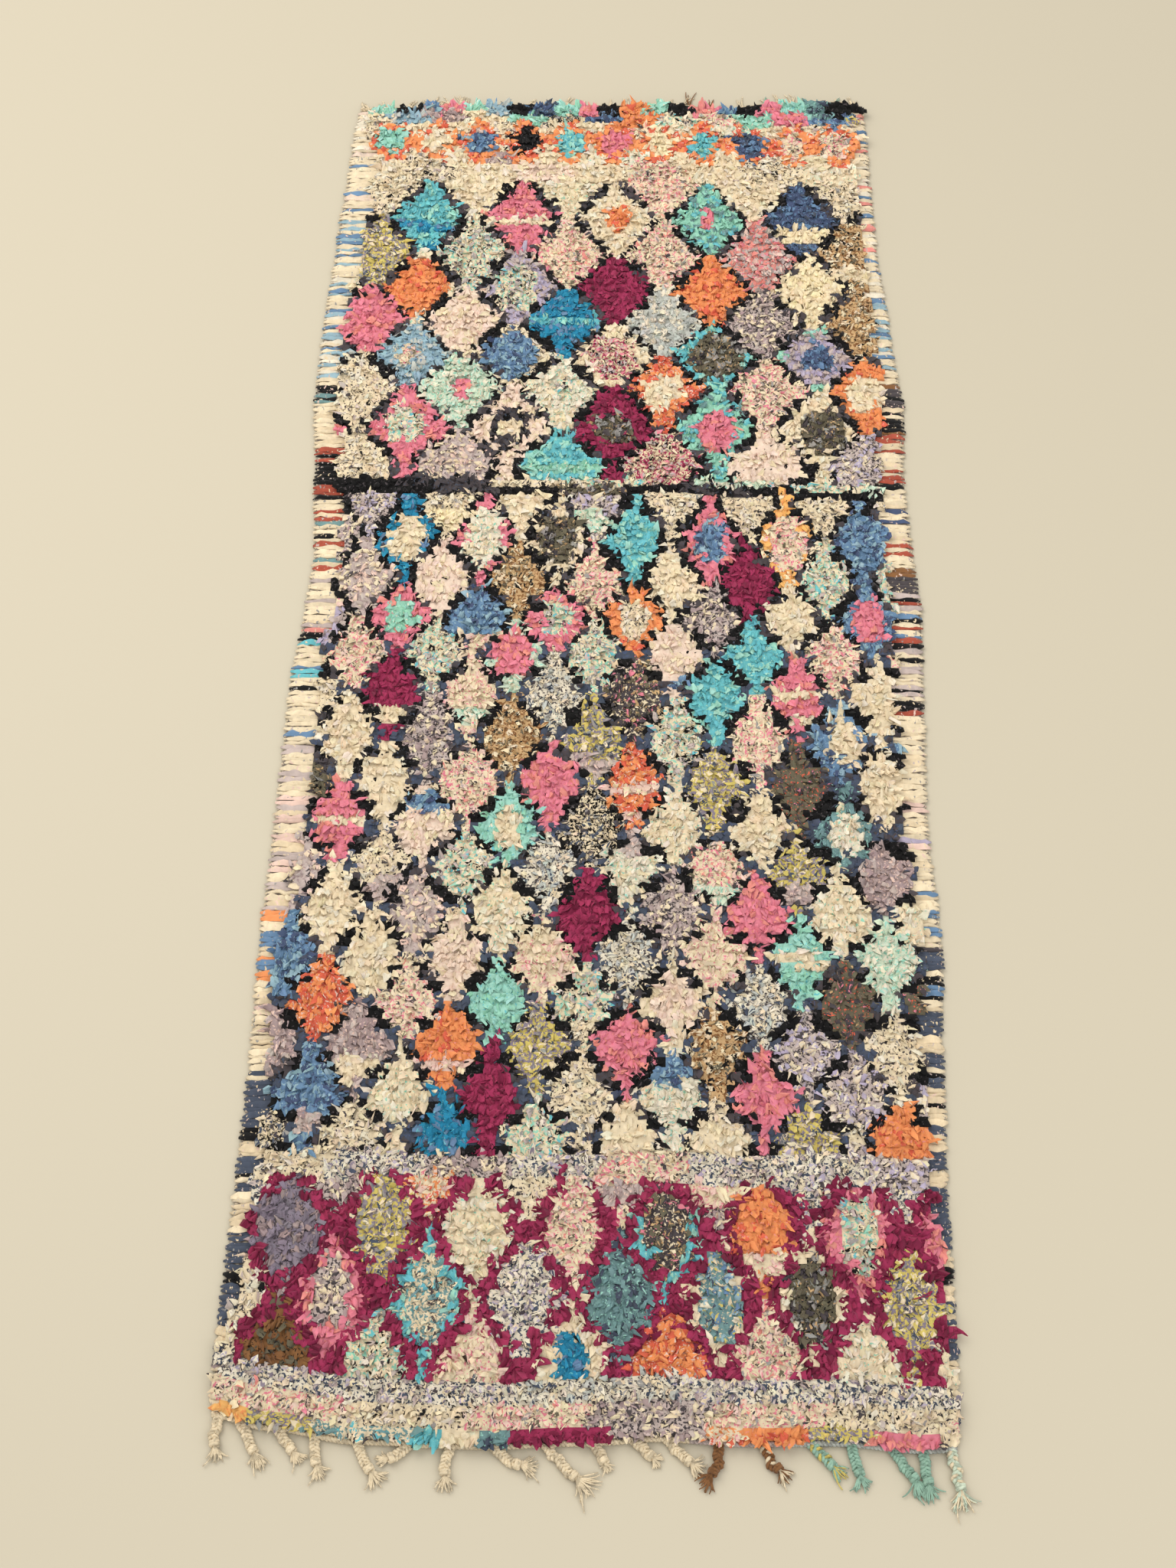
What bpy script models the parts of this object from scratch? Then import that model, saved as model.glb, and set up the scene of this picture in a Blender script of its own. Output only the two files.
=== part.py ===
# Boucherouite rug: a woven runner with knotted rag pile and bare striped selvedges, plaited warp
# tassels at its near end and loose warp ends at its far end. Metres, +Z up, near end towards -Y,
# lying flat on z = 0 with the origin under its middle.
import math
import random
from collections import namedtuple

import bmesh
import bpy
from mathutils import Vector, noise

# Thicknesses of the cloth over the floor
GROUND_HEIGHT = 0.006
PILE_HEIGHT = 0.0175
TUFT_RISE = 0.005
PILE_UNEVENNESS = 0.003
LEDGE_HEIGHT = 0.0075
LEDGE_SHARE = 0.6

# Spacing of the tufts that the upper face shows as lumps
COLUMNS = 38
ROWS = 92
JITTER = 0.0045

# Bare selvedges, and how far the pile takes to rise out of them
SELVEDGE_WIDTH = 0.044
SELVEDGE_WANDER = 0.012
PILE_SLOPE = 0.020
WEFT_LOOP = 0.0045

# Rag locks that hang past both ends of the pile
LOCK_WIDTH_SHARE = 0.62
NEAR_LOCK_REACH = (0.004, 0.009)
FAR_LOCK_REACH = (0.008, 0.022)

# Cords that hold the warp ends, and the clearance between pieces
CLEARANCE = 0.0003
CORD_DEPTH = 0.006
CORD_HEIGHT = 0.006
TASSEL_ROOT = 0.009
WARP_END_ROOT = 0.0045
END_MARGIN = 0.004
ROOT_MARGIN = 0.0008

# Left and right edges of the cloth at places along it
Station = namedtuple("Station", "y left right")
STATIONS = (
    Station(-1.28, -0.531, 0.501),
    Station(-1.15, -0.532, 0.508),
    Station(-0.97, -0.529, 0.508),
    Station(-0.72, -0.526, 0.516),
    Station(-0.54, -0.530, 0.527),
    Station(-0.32, -0.526, 0.518),
    Station(-0.07, -0.524, 0.526),
    Station(0.10, -0.512, 0.534),
    Station(0.20, -0.506, 0.526),
    Station(0.38, -0.518, 0.519),
    Station(0.54, -0.533, 0.528),
    Station(0.73, -0.531, 0.513),
    Station(0.93, -0.522, 0.499),
    Station(1.18, -0.512, 0.494),
    Station(1.32, -0.505, 0.490),
)

# Near and far ends of the cloth at shares of its width
EndLine = namedtuple("EndLine", "across near far")
END_LINES = (
    EndLine(0.00, -1.266, 1.294),
    EndLine(0.08, -1.283, 1.297),
    EndLine(0.20, -1.300, 1.308),
    EndLine(0.36, -1.304, 1.311),
    EndLine(0.50, -1.297, 1.310),
    EndLine(0.60, -1.289, 1.318),
    EndLine(0.72, -1.294, 1.305),
    EndLine(0.84, -1.291, 1.324),
    EndLine(0.95, -1.299, 1.328),
    EndLine(1.00, -1.296, 1.316),
)

# Plaited tassels: place of the root, heading in degrees from straight out towards +X, and length
Tassel = namedtuple("Tassel", "x heading turn length")
TASSELS = (
    Tassel(-0.517, -15, 28, 0.056),
    Tassel(-0.489, 32, -6, 0.064),
    Tassel(-0.436, 34, 10, 0.052),
    Tassel(-0.384, 3, 16, 0.054),
    Tassel(-0.324, 18, 22, 0.060),
    Tassel(-0.253, -38, -40, 0.044),
    Tassel(-0.195, -22, 26, 0.054),
    Tassel(-0.136, 38, 44, 0.060),
    Tassel(-0.066, 38, 14, 0.082),
    Tassel(0.001, 28, 0, 0.038),
    Tassel(0.056, 40, 12, 0.044),
    Tassel(0.101, 40, 16, 0.058),
    Tassel(0.171, 6, -44, 0.060),
    Tassel(0.234, 14, 34, 0.054),
    Tassel(0.298, 42, 6, 0.056),
    Tassel(0.353, 10, 8, 0.056),
    Tassel(0.409, 36, -6, 0.068),
    Tassel(0.452, 2, 4, 0.060),
    Tassel(0.489, 14, -10, 0.074),
)

# Loose warp ends at the far end, in the same terms
WARP_ENDS = (
    Tassel(-0.496, -16, 20, 0.026),
    Tassel(-0.348, 12, -24, 0.020),
    Tassel(-0.099, 8, 18, 0.034),
    Tassel(0.022, -20, 10, 0.024),
    Tassel(0.148, -12, 30, 0.040),
    Tassel(0.183, 24, -16, 0.028),
    Tassel(0.294, 10, 22, 0.030),
    Tassel(0.384, -14, -12, 0.026),
    Tassel(0.436, 18, 16, 0.024),
)

# Sections along a tassel, from its root through its knot, and along one of its loose yarns
Section = namedtuple("Section", "along width height")
TASSEL_SECTIONS = (
    Section(0.10, 0.0095, 0.0070),
    Section(0.36, 0.0115, 0.0085),
    Section(0.58, 0.0100, 0.0075),
    Section(0.68, 0.0150, 0.0120),
    Section(0.78, 0.0120, 0.0100),
)
YARN_SECTIONS = (
    Section(0.50, 0.0055, 0.0050),
    Section(1.00, 0.0025, 0.0022),
)
WARP_END_SECTIONS = (
    Section(0.25, 0.0040, 0.0034),
    Section(0.65, 0.0034, 0.0030),
    Section(1.00, 0.0018, 0.0016),
)
YARN_SHARE = 0.30
YARN_SPREAD = 48
TOP_SHARE = 0.62

PILE_COLOUR = (0.52, 0.42, 0.38, 1.0)
TASSEL_COLOUR = (0.80, 0.70, 0.52, 1.0)
WARP_COLOUR = (0.74, 0.66, 0.52, 1.0)
SEED = 11


def clear_scene():
    for thing in list(bpy.data.objects):
        bpy.data.objects.remove(thing, do_unlink=True)


def eased(table, key, column, at):
    """The value of a column at a place between two rows, eased from row to row."""
    if at <= getattr(table[0], key):
        return getattr(table[0], column)
    for low, high in zip(table, table[1:]):
        start, end = getattr(low, key), getattr(high, key)
        if at <= end:
            share = (at - start) / (end - start)
            share = share * share * (3 - 2 * share)
            first, second = getattr(low, column), getattr(high, column)
            return first + (second - first) * share
    return getattr(table[-1], column)


def side_edges(y):
    return eased(STATIONS, "y", "left", y), eased(STATIONS, "y", "right", y)


def cloth_point(across, along):
    """The place in plan of a share of the width and a share of the length."""
    near = eased(END_LINES, "across", "near", across)
    far = eased(END_LINES, "across", "far", across)
    y = near + (far - near) * along
    left, right = side_edges(y)
    return left + (right - left) * across, y


def end_points(column):
    """The points of the cloth's near or far end, one for each column of tufts."""
    along = 0.0 if column == "near" else 1.0
    return [cloth_point(i / COLUMNS, along) for i in range(COLUMNS + 1)]


def end_y(points, x):
    """The place along the cloth of its end at x."""
    for (low_x, low_y), (high_x, high_y) in zip(points, points[1:]):
        if x <= high_x:
            return low_y + (high_y - low_y) * (x - low_x) / (high_x - low_x)
    return points[-1][1]


def pile_rise(x, y):
    """0 on the bare selvedges, and 1 where the pile stands at its full height."""
    left, right = side_edges(y)
    wander = SELVEDGE_WANDER * noise.noise(Vector((x * 2, y * 5, 3.1)))
    inside = min(x - left, right - x) - SELVEDGE_WIDTH - wander
    share = min(max(inside / PILE_SLOPE, 0.0), 1.0)
    return share * share * (3 - 2 * share)


def make_material(name, colour, roughness):
    material = bpy.data.materials.new(name)
    material.use_nodes = True
    shader = material.node_tree.nodes["Principled BSDF"]
    shader.inputs["Base Color"].default_value = colour
    shader.inputs["Roughness"].default_value = roughness
    shader.inputs["Metallic"].default_value = 0.0
    return material


def finish_object(bm, name, material):
    bmesh.ops.recalc_face_normals(bm, faces=bm.faces[:])
    if bm.calc_volume(signed=True) < 0:
        bmesh.ops.reverse_faces(bm, faces=bm.faces[:])
    mesh = bpy.data.meshes.new(name)
    bm.to_mesh(mesh)
    bm.free()
    mesh.materials.append(material)
    mesh.shade_smooth()
    made = bpy.data.objects.new(name, mesh)
    bpy.context.scene.collection.objects.link(made)
    return made


def shape_upper_face(bm, column, row, rng):
    """Lays a flat grid out to the cloth's outline and raises its tufts, creased between them."""
    for vert in bm.verts:
        across, along = vert.co.x + 0.5, vert.co.y + 0.5
        vert[column] = round(across * COLUMNS)
        vert[row] = round(along * ROWS)
        x, y = cloth_point(across, along)
        rim = vert[column] in (0, COLUMNS) or vert[row] in (0, ROWS)
        if not rim:
            x += rng.uniform(-JITTER, JITTER)
            y += rng.uniform(-JITTER, JITTER)
        tuft = TUFT_RISE * (1 if (vert[column] + vert[row]) % 2 else -1)
        tuft += PILE_UNEVENNESS * rng.uniform(-1, 1)
        full = PILE_HEIGHT - GROUND_HEIGHT + tuft
        vert.co = (x, y, GROUND_HEIGHT + full * pile_rise(x, y))
    for face in bm.faces[:]:
        hollows = [vert for vert in face.verts if (vert[column] + vert[row]) % 2 == 0]
        bmesh.utils.face_split(face, *hollows)


def lower_rim(bm, column, row, height, weft_loops):
    """Extrudes the open rim down to a height, pushing the long sides out by the weft's loops."""
    rim = [edge for edge in bm.edges if edge.is_boundary]
    made = bmesh.ops.extrude_edge_only(bm, edges=rim)["geom"]
    lowered = {}
    for vert in made:
        if not isinstance(vert, bmesh.types.BMVert):
            continue
        lowered[vert[column], vert[row]] = vert
        if vert[row] in (0, ROWS):
            vert.co.z = min(height, vert.co.z * LEDGE_SHARE)
        else:
            right = vert[column] == COLUMNS
            vert.co.x += weft_loops[right][vert[row]] * (1 if right else -1)
            vert.co.z = min(height, GROUND_HEIGHT / 2)
    return lowered


def close_underside(bm, base):
    """Fills the flat underside with one strip for each row of tufts."""
    for low in range(ROWS):
        strip = [base[0, low + 1], base[0, low], base[COLUMNS, low], base[COLUMNS, low + 1]]
        if low == 0:
            strip[2:2] = [base[i, 0] for i in range(1, COLUMNS)]
        if low == ROWS - 1:
            strip += [base[i, ROWS] for i in range(COLUMNS - 1, 0, -1)]
        bm.faces.new(strip)


def hang_locks(bm, ledge, upper, rng):
    """Pulls each piece of the two ends' upper wall out into a rag lock."""
    for end, reaches in ((0, NEAR_LOCK_REACH), (ROWS, FAR_LOCK_REACH)):
        outwards = 1 if end else -1
        for i in range(COLUMNS):
            corners = [upper[i, end], upper[i + 1, end], ledge[i + 1, end], ledge[i, end]]
            if min(corner.co.z for corner in corners) < LEDGE_HEIGHT:
                continue
            wall = bm.faces.get(corners)
            lock = bmesh.ops.extrude_discrete_faces(bm, faces=[wall])["faces"][0]
            middle = lock.calc_center_median().x + rng.uniform(-JITTER, JITTER)
            reach = outwards * rng.uniform(*reaches)
            for vert in lock.verts:
                vert.co.x = middle + (vert.co.x - middle) * LOCK_WIDTH_SHARE
                vert.co.y += reach
                vert.co.z = LEDGE_HEIGHT + (vert.co.z - LEDGE_HEIGHT) * LOCK_WIDTH_SHARE


def make_body(material):
    """The cloth: woven ground, selvedges and pile in one piece with a flat underside."""
    rng = random.Random(SEED)
    bm = bmesh.new()
    column = bm.verts.layers.int.new("column")
    row = bm.verts.layers.int.new("row")
    bmesh.ops.create_grid(bm, x_segments=COLUMNS, y_segments=ROWS, size=0.5)
    shape_upper_face(bm, column, row, rng)
    upper = {(vert[column], vert[row]): vert for vert in bm.verts}
    weft_loops = [[rng.uniform(0, WEFT_LOOP) for low in range(ROWS + 1)] for side in range(2)]
    no_loops = [[0.0] * (ROWS + 1)] * 2
    ledge = lower_rim(bm, column, row, LEDGE_HEIGHT, weft_loops)
    close_underside(bm, lower_rim(bm, column, row, 0.0, no_loops))
    hang_locks(bm, ledge, upper, rng)
    return finish_object(bm, "rug_body", material)


def extruded(bm, ring, corners):
    """Extrudes the face on four vertices to four corners, and returns its new vertices in order."""
    face = bm.faces.get(ring)
    made = bmesh.ops.extrude_discrete_faces(bm, faces=[face])["faces"][0]
    fresh = [min(made.verts, key=lambda vert: (vert.co - old.co).length) for old in ring]
    for vert, corner in zip(fresh, corners):
        vert.co = corner
    return fresh


def along_floor(heading, outwards):
    """The direction of a heading, counted from straight out of the cloth's end towards +X."""
    return Vector((math.sin(heading), outwards * math.cos(heading), 0.0))


def ring_corners(centre, ahead, section):
    """Four corners of a strand's section that rests on the floor: low left, low right, high right,
    high left, seen along the strand."""
    half = Vector((ahead.y, -ahead.x, 0.0)) * section.width / 2
    top = Vector((0.0, 0.0, section.height))
    return (
        centre - half,
        centre + half,
        centre + half * TOP_SHARE + top,
        centre - half * TOP_SHARE + top,
    )


def grow_strand(bm, ring, start, heading_at, length, sections, outwards):
    """Extrudes a face along a bending course on the floor, and returns its last two rings."""
    centre, at = start.copy(), 0.0
    for section in sections:
        step = (section.along - at) * length
        centre += along_floor(heading_at((at + section.along) / 2), outwards) * step
        at = section.along
        before = ring
        ring = extruded(bm, ring, ring_corners(centre, along_floor(heading_at(at), outwards), section))
    return before, ring


def make_cord(bm, spans, column, outwards):
    """A narrow cord along an end of the cloth, and the front faces where strands leave it."""
    points = end_points(column)
    roots = [x for span in spans for x in span]
    clear = [x for x, y in points if all(x < low - ROOT_MARGIN or x > high + ROOT_MARGIN
                                         for low, high in spans)]
    first, last = points[0][0] + END_MARGIN, points[-1][0] - END_MARGIN
    stations = sorted(roots + [x for x in clear if first < x < last] + [first, last])

    def corners(x):
        y = end_y(points, x) + outwards * CLEARANCE
        front = y + outwards * CORD_DEPTH
        return (
            Vector((x, y, 0.0)),
            Vector((x, front, 0.0)),
            Vector((x, front, CORD_HEIGHT)),
            Vector((x, y, CORD_HEIGHT)),
        )

    ring = start = [bm.verts.new(corner) for corner in corners(stations[0])]
    bm.faces.new(ring)
    fronts = {}
    for x in stations[1:]:
        fresh = extruded(bm, ring, corners(x))
        fronts[x] = (ring[1], fresh[1], fresh[2], ring[2])
        ring = fresh
    bm.faces.new(start)
    return [fronts[span[1]] for span in spans]


def make_fringe(name, strands, column, root_width, material, sections, loose_yarns):
    """A cord with its strands, which lie flat on the floor and join only at their roots."""
    outwards = -1 if column == "near" else 1
    bm = bmesh.new()
    spans = [(strand.x - root_width / 2, strand.x + root_width / 2) for strand in strands]
    for strand, root in zip(strands, make_cord(bm, spans, column, outwards)):
        ring = root if outwards > 0 else (root[1], root[0], root[3], root[2])
        start = (root[0].co + root[1].co) / 2
        first, turn = math.radians(strand.heading), math.radians(strand.turn)
        before, ring = grow_strand(
            bm, ring, start, lambda share: first + turn * share, strand.length, sections, outwards
        )
        if loose_yarns:
            splay_yarns(bm, before, ring, first + turn, strand.length, outwards)
    return finish_object(bm, name, material)


def splay_yarns(bm, before, ring, heading, tassel_length, outwards):
    """Three loose yarns past a tassel's knot: one straight on, and one out of each flank."""
    left = (before[0], ring[0], ring[3], before[3])
    right = (ring[1], before[1], before[2], ring[2])
    spread = -outwards * math.radians(YARN_SPREAD)
    length = tassel_length * YARN_SHARE
    for root, angle in ((left, heading + spread), (ring, heading), (right, heading - spread)):
        start = (root[0].co + root[1].co) / 2
        grow_strand(bm, root, start, lambda share: angle, length, YARN_SECTIONS, outwards)


clear_scene()
make_body(make_material("rag_pile", PILE_COLOUR, 0.95))
make_fringe(
    "fringe_near", TASSELS, "near", TASSEL_ROOT,
    make_material("tassel_cotton", TASSEL_COLOUR, 0.9), TASSEL_SECTIONS, True,
)
make_fringe(
    "fringe_far", WARP_ENDS, "far", WARP_END_ROOT,
    make_material("warp_cotton", WARP_COLOUR, 0.9), WARP_END_SECTIONS, False,
)
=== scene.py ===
import math
import random

import bmesh
import bpy
import numpy as np
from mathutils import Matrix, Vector, noise


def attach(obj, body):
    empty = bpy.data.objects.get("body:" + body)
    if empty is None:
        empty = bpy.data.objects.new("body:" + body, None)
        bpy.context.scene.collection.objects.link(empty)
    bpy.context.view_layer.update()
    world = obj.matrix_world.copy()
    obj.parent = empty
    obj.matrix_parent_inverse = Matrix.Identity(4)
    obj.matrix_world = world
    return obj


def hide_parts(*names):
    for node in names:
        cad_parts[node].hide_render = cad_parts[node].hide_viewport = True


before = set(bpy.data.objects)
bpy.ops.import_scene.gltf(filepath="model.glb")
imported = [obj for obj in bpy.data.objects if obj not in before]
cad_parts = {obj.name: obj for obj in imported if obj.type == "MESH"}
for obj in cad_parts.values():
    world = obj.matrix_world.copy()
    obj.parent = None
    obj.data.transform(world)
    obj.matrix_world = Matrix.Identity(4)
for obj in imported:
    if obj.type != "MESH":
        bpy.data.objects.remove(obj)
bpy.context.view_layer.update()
print("frame loaded")

# The cloth's outline, as the solids have it, in metres
clothOutline = {
    # y, left edge, right edge
    "sides": (
        (-1.28, -0.531, 0.501), (-1.15, -0.532, 0.508), (-0.97, -0.529, 0.508),
        (-0.72, -0.526, 0.516), (-0.54, -0.530, 0.527), (-0.32, -0.526, 0.518),
        (-0.07, -0.524, 0.526), (0.10, -0.512, 0.534), (0.20, -0.506, 0.526),
        (0.38, -0.518, 0.519), (0.54, -0.533, 0.528), (0.73, -0.531, 0.513),
        (0.93, -0.522, 0.499), (1.18, -0.512, 0.494), (1.32, -0.505, 0.490),
    ),
    # share of the width, near end, far end
    "ends": (
        (0.00, -1.266, 1.294), (0.08, -1.283, 1.297), (0.20, -1.300, 1.308),
        (0.36, -1.304, 1.311), (0.50, -1.297, 1.310), (0.60, -1.289, 1.318),
        (0.72, -1.294, 1.305), (0.84, -1.291, 1.324), (0.95, -1.299, 1.328),
        (1.00, -1.296, 1.316),
    ),
}


def eased(table, column, at):
    rows = np.array(table)
    keys = rows[:, 0]
    low = np.clip(np.searchsorted(keys, at, side="right") - 1, 0, len(keys) - 2)
    share = np.clip((at - keys[low]) / (keys[low + 1] - keys[low]), 0, 1)
    share = share * share * (3 - 2 * share)
    return rows[low, column] + (rows[low + 1, column] - rows[low, column]) * share


def sideEdges(y):
    return eased(clothOutline["sides"], 1, y), eased(clothOutline["sides"], 2, y)


def clothPoint(across, along):
    near = eased(clothOutline["ends"], 1, across)
    far = eased(clothOutline["ends"], 2, across)
    y = near + (far - near) * along
    left, right = sideEdges(y)
    return left + (right - left) * across, y


def addPiece(name, data):
    piece = bpy.data.objects.new(name, data)
    bpy.context.scene.collection.objects.link(piece)
    return piece


def paintMesh(mesh, domain, **colours):
    for key, value in colours.items():
        layer = mesh.attributes.new(key, "FLOAT_COLOR", domain)
        layer.data.foreach_set("color", np.clip(value, 0, 1).astype(np.float32).ravel())


# Dyed rags and yarns, as 0 to 255 display colours chosen
dyes = {
    "plum": (164, 44, 86), "wine": (124, 28, 62), "rose": (229, 128, 146), "salmon": (232, 142, 130),
    "blush": (232, 198, 181), "turquoise": (100, 188, 196), "aqua": (158, 214, 196),
    "peacock": (24, 136, 174), "navy": (72, 86, 118), "blue": (102, 136, 170), "sky": (148, 180, 192),
    "orange": (239, 147, 84), "red": (222, 98, 68), "cream": (235, 216, 180), "ecru": (227, 205, 167),
    "white": (232, 221, 197), "peach": (237, 212, 190), "black": (20, 19, 19),
    "charcoal": (76, 69, 71), "slate": (72, 80, 96), "mint": (146, 206, 180),
    "paleMint": (208, 221, 196), "ochre": (212, 192, 98), "straw": (245, 227, 184),
    "lilac": (182, 170, 192), "mauve": (170, 148, 146), "dust": (196, 178, 170),
    "heather": (138, 126, 140), "brown": (136, 92, 52), "tan": (204, 166, 116),
    "rust": (172, 76, 54), "teal": (112, 148, 148), "silver": (193, 195, 186),
    "olive": (106, 98, 78), "gold": (242, 180, 98), "grey": (154, 150, 144), "sage": (150, 188, 166),
}

# What each rag is cut from: its grounds, its printed marks, and how much of it the marks cover
rags = {
    "plum": ("plum plum wine", "wine", 0.12), "rose": ("rose rose rose salmon", "salmon", 0.08),
    "salmon": ("salmon salmon rose", "rose", 0.1), "blush": ("blush blush cream", "rose", 0.06),
    "turquoise": ("turquoise turquoise aqua", "aqua", 0.12), "aqua": ("aqua aqua mint", "turquoise", 0.1),
    "peacock": ("peacock peacock peacock blue", "turquoise", 0.08),
    "navy": ("navy navy blue slate", "blue", 0.2),
    "blue": ("blue navy blue sky", "sky", 0.16), "sky": ("sky sky silver", "blue", 0.12),
    "orange": ("orange orange orange orange red", "salmon", 0.08),
    "redOrange": ("red orange orange", "blush", 0.16),
    "cream": ("cream cream cream white", "ecru", 0.10), "paleCream": ("cream white cream", "mint", 0.07),
    "straw": ("straw straw cream", "ecru", 0.1), "peach": ("peach peach cream", "blush", 0.12),
    "pinkCream": ("cream blush cream", "rose", 0.14), "mintCream": ("white cream white", "mint aqua", 0.15),
    "paleMint": ("paleMint white", "mint aqua", 0.25), "black": ("black", "charcoal", 0.1),
    "mint": ("mint mint aqua", "white", 0.1), "sea": ("mint turquoise teal mint", "aqua", 0.15),
    "duskPink": ("salmon dust blush salmon", "mauve rose grey", 0.3),
    "charcoal": ("charcoal charcoal black", "slate", 0.15), "slate": ("slate slate charcoal", "navy", 0.15),
    "lilac": ("lilac dust dust", "mauve", 0.15), "mauve": ("mauve mauve dust", "blush", 0.2),
    "dust": ("dust dust mauve", "blush", 0.2), "heather": ("heather heather mauve", "charcoal", 0.15),
    "brown": ("brown brown olive", "black", 0.1),
    "teal": ("teal teal slate", "aqua", 0.12), "silver": ("silver silver white", "grey", 0.15),
    "gold": ("gold gold straw", "orange", 0.15), "olive": ("olive olive grey charcoal", "black tan", 0.2),
    "creamTweed": ("cream cream ecru white", "charcoal black grey dust", 0.23),
    "blackTweed": ("cream ecru grey cream", "black charcoal black slate", 0.42),
    "roseTweed": ("cream blush ecru cream", "rose charcoal grey salmon olive", 0.30),
    "mintTweed": ("cream white ecru dust", "mint turquoise charcoal grey black", 0.33),
    "mauveTweed": ("dust mauve cream", "charcoal cream mauve", 0.36),
    "dustTweed": ("dust blush cream", "mauve charcoal cream", 0.28),
    "lilacTweed": ("dust lilac cream", "charcoal lilac white", 0.34),
    "oliveTweed": ("ochre cream grey ochre", "heather slate cream ochre", 0.42),
    "tanTweed": ("tan cream tan ecru", "brown olive black", 0.34),
    "charcoalTweed": ("charcoal olive charcoal", "cream tan rose", 0.26),
    "redCharcoal": ("olive charcoal olive", "red rose tan", 0.16),
    "orangeTweed": ("cream ecru blush", "orange red rose", 0.34),
    "silverTweed": ("white silver cream", "charcoal slate grey", 0.3),
    "inkTweed": ("white cream dust white", "slate heather charcoal lilac", 0.34),
    "blueTweed": ("teal sky blue teal", "ecru slate ochre", 0.26),
    "plumTweed": ("ecru cream dust", "plum black rose", 0.4),
    "tealTweed": ("cream ecru cream teal", "teal charcoal turquoise", 0.36),
}
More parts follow.
